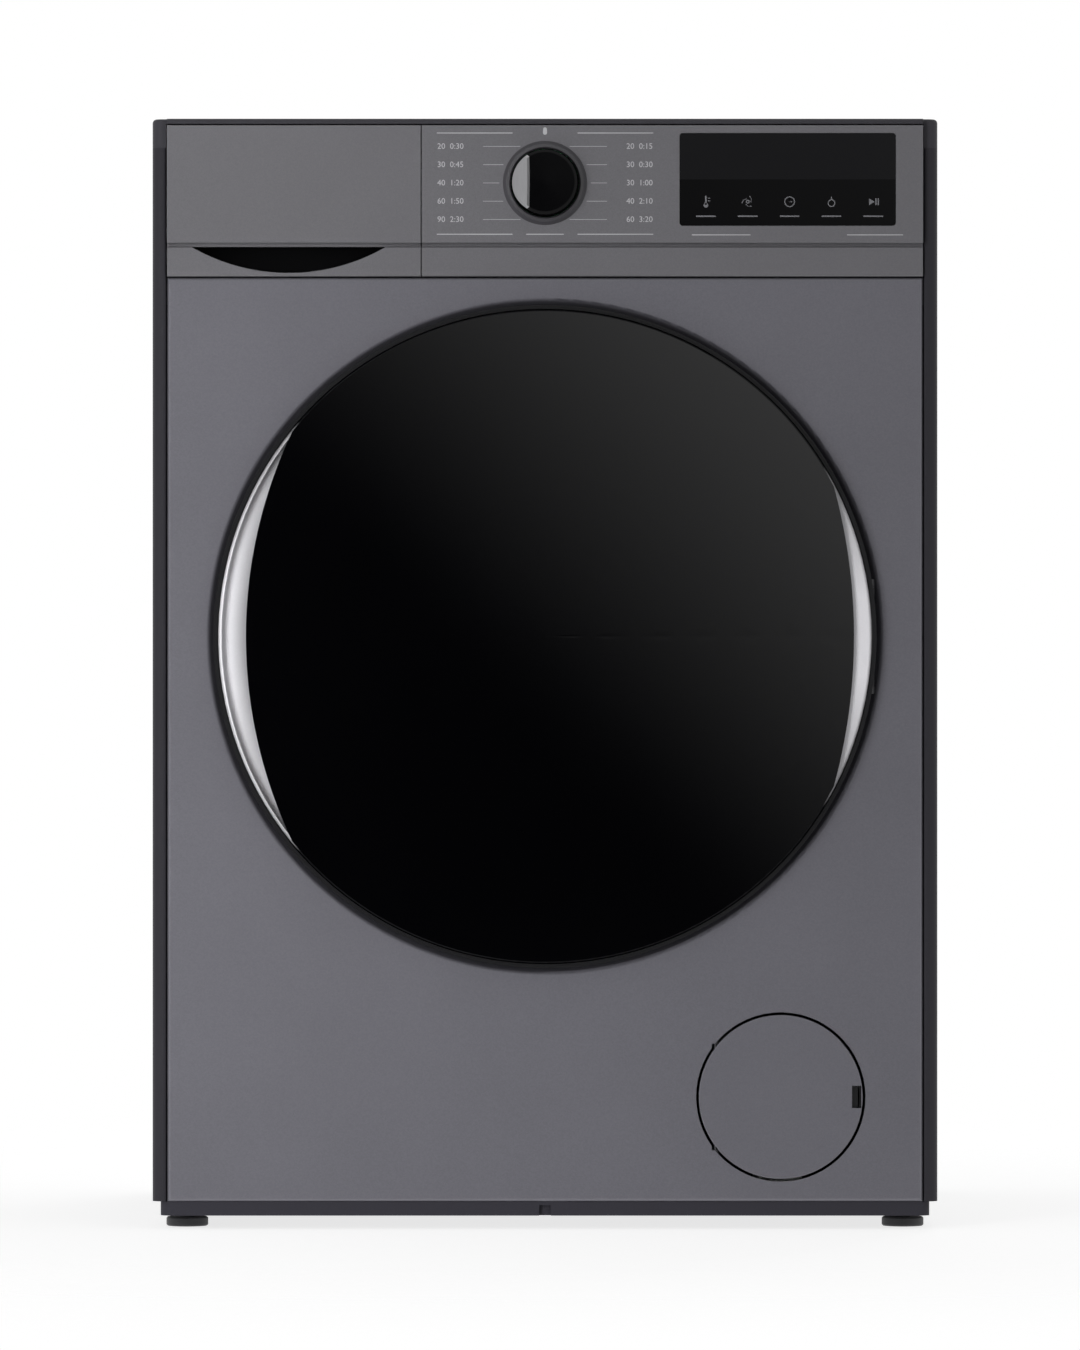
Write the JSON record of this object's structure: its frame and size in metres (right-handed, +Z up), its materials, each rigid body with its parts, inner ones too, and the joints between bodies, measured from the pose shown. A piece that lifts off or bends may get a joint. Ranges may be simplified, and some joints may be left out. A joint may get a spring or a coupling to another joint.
{
  "type": "front load washing machine",
  "caption": "Free-standing front load washing machine with a domed black door, programme dial, display, detergent drawer and service flap, built around a suspended tub.",
  "frame": {"origin": "middle of the overall box on the floor plane, under the machine", "axes": "+X to the right as seen from the front, +Y to the rear so the door faces -Y, +Z up"},
  "size_m": [0.598, 0.58, 0.845],
  "materials": {
    "graphite_steel": "satin metallic graphite paint",
    "dark_side_steel": "satin dark grey paint",
    "graphite_moulding": "satin metallic graphite moulding",
    "dark_worktop": "fine grained dark grey",
    "base_moulding": "matt dark grey",
    "galvanised_steel": "spangled zinc",
    "black_moulding": "matt black",
    "gloss_black": "high gloss black",
    "silver_moulding": "metallic silver lacquer",
    "bright_inlay": "brushed along the facet",
    "bezel_grey": "satin dark grey",
    "clear_glass": "clear pressed glass",
    "zinc_steel": "bright zinc plate",
    "spring_steel": "oiled spring wire",
    "bearing_steel": "ground bearing steel",
    "grey_rubber": "soft grey bellows",
    "black_rubber": "matt black rubber",
    "stainless_drum": "brushed stainless steel",
    "cast_aluminium": "as cast",
    "tub_moulding": "mineral filled moulding",
    "concrete": "cast concrete",
    "motor_shell": "die cast shell",
    "rotor_steel": "laminated core and shaft",
    "tray_grey": "smooth pale grey",
    "siphon_blue": "smooth blue",
    "white_moulding": "plain white moulding",
    "circuit_board": "green solder mask",
    "filter_blue": "matt blue"
  },
  "bodies": {
    "cabinet": {"side_panel_left": "dark_side_steel", "side_panel_right": "dark_side_steel", "rear_panel": "galvanised_steel", "rear_access_cover": "galvanised_steel", "transit_caps": "black_moulding", "front_panel": "graphite_steel", "top_cover": "dark_worktop", "cross_members": "galvanised_steel", "base_tray": "base_moulding", "control_fascia": "graphite_moulding", "display_window": "gloss_black", "display_board": "circuit_board", "dial_bezel": "bezel_grey", "dial_encoder": "black_moulding", "dispenser_housing": "white_moulding", "door_hinge_bracket": "zinc_steel", "hinge_pin": "zinc_steel", "door_lock": "black_moulding", "door_gasket": "grey_rubber", "hanging_springs": "spring_steel", "damper_cylinders": "white_moulding", "filter_collar": "black_moulding", "drain_pump": "white_moulding", "sump_hose": "black_rubber", "dispenser_hose": "black_rubber", "inlet_valve": "white_moulding", "drain_outlet": "black_moulding", "cord_gland": "black_moulding", "control_module": "black_moulding"},
    "door": {"door_cover": "gloss_black", "door_frame": "silver_moulding", "door_back_frame": "black_moulding", "door_glass": "clear_glass", "door_hinge_leaf": "zinc_steel"},
    "latch": {"latch_hook": "zinc_steel"},
    "drawer": {"drawer_front": "graphite_moulding", "drawer_tray": "tray_grey", "softener_siphon": "siphon_blue"},
    "dial": {"programme_dial": "gloss_black", "dial_inlay": "bright_inlay"},
    "flap": {"filter_flap": "graphite_moulding"},
    "filter": {"pump_filter": "filter_blue"},
    "impeller": {"pump_impeller": "white_moulding"},
    "tub": {"tub_front": "tub_moulding", "tub_rear": "tub_moulding", "bearings": "bearing_steel", "drive_belt": "black_rubber", "motor_stator": "motor_shell", "counterweights": "concrete", "heater": "stainless_drum", "damper_rods": "black_moulding"},
    "drum": {"drum_shell": "stainless_drum", "drum_lifters": "tray_grey", "drum_spider": "cast_aluminium", "drum_pulley": "cast_aluminium"},
    "rotor": {"motor_rotor": "rotor_steel"},
    "foot_fl": {"foot_front_left": "black_rubber"},
    "foot_fr": {"foot_front_right": "black_rubber"},
    "foot_rl": {"foot_rear_left": "black_rubber"},
    "foot_rr": {"foot_rear_right": "black_rubber"}
  },
  "joints": [
    {"name": "door_hinge", "type": "hinge", "parent": "cabinet", "child": "door", "pos_m": [0.246, -0.262, 0.451], "axis": [0, 0, 1], "range_deg": [0, 135]},
    {"name": "latch_swing", "type": "hinge", "parent": "door", "child": "latch", "pos_m": [-0.2, -0.259, 0.451], "axis": [0, 0, -1], "range_deg": [0, 12], "stiffness_Nm_per_rad": 0.5},
    {"name": "drawer_slide", "type": "slide", "parent": "cabinet", "child": "drawer", "axis": [0, -1, 0], "range_m": [0, 0.2]},
    {"name": "dial_turn", "type": "hinge", "parent": "cabinet", "child": "dial", "pos_m": [0, -0.266, 0.796], "axis": [0, -1, 0], "continuous": true},
    {"name": "flap_hinge", "type": "hinge", "parent": "cabinet", "child": "flap", "pos_m": [0.1295, -0.2544, 0.1005], "axis": [0, 0, -1], "range_deg": [0, 95]},
    {"name": "filter_twist", "type": "hinge", "parent": "cabinet", "child": "filter", "pos_m": [0.1795, -0.221, 0.1005], "axis": [0, -1, 0], "range_deg": [0, 90]},
    {"name": "impeller_spin", "type": "hinge", "parent": "cabinet", "child": "impeller", "pos_m": [0.1795, -0.111, 0.1005], "axis": [0, 1, 0], "continuous": true},
    {"name": "tub_bounce", "type": "slide", "parent": "cabinet", "child": "tub", "axis": [0, 0, 1], "range_m": [-0.006, 0.006], "stiffness_N_per_m": 12000, "springref_m": 0.02096, "deforming": ["door_gasket", "hanging_springs", "sump_hose", "dispenser_hose"]},
    {"name": "drum_spin", "type": "hinge", "parent": "tub", "child": "drum", "pos_m": [0, -0.006, 0.451], "axis": [0, 1, 0], "continuous": true},
    {"name": "motor_spin", "type": "hinge", "parent": "tub", "child": "rotor", "pos_m": [-0.02, 0.144, 0.118], "axis": [0, 1, 0], "continuous": true},
    {"name": "foot_fl_turn", "type": "hinge", "parent": "cabinet", "child": "foot_fl", "pos_m": [-0.274, -0.21, 0.02], "axis": [0, 0, 1], "continuous": true},
    {"name": "foot_fr_turn", "type": "hinge", "parent": "cabinet", "child": "foot_fr", "pos_m": [0.274, -0.21, 0.02], "axis": [0, 0, 1], "continuous": true},
    {"name": "foot_rl_turn", "type": "hinge", "parent": "cabinet", "child": "foot_rl", "pos_m": [-0.274, 0.228, 0.02], "axis": [0, 0, 1], "continuous": true},
    {"name": "foot_rr_turn", "type": "hinge", "parent": "cabinet", "child": "foot_rr", "pos_m": [0.274, 0.228, 0.02], "axis": [0, 0, 1], "continuous": true}
  ],
  "couplings": [
    {"joint": "motor_spin", "follows": "drum_spin", "ratio": 13.193}
  ]
}
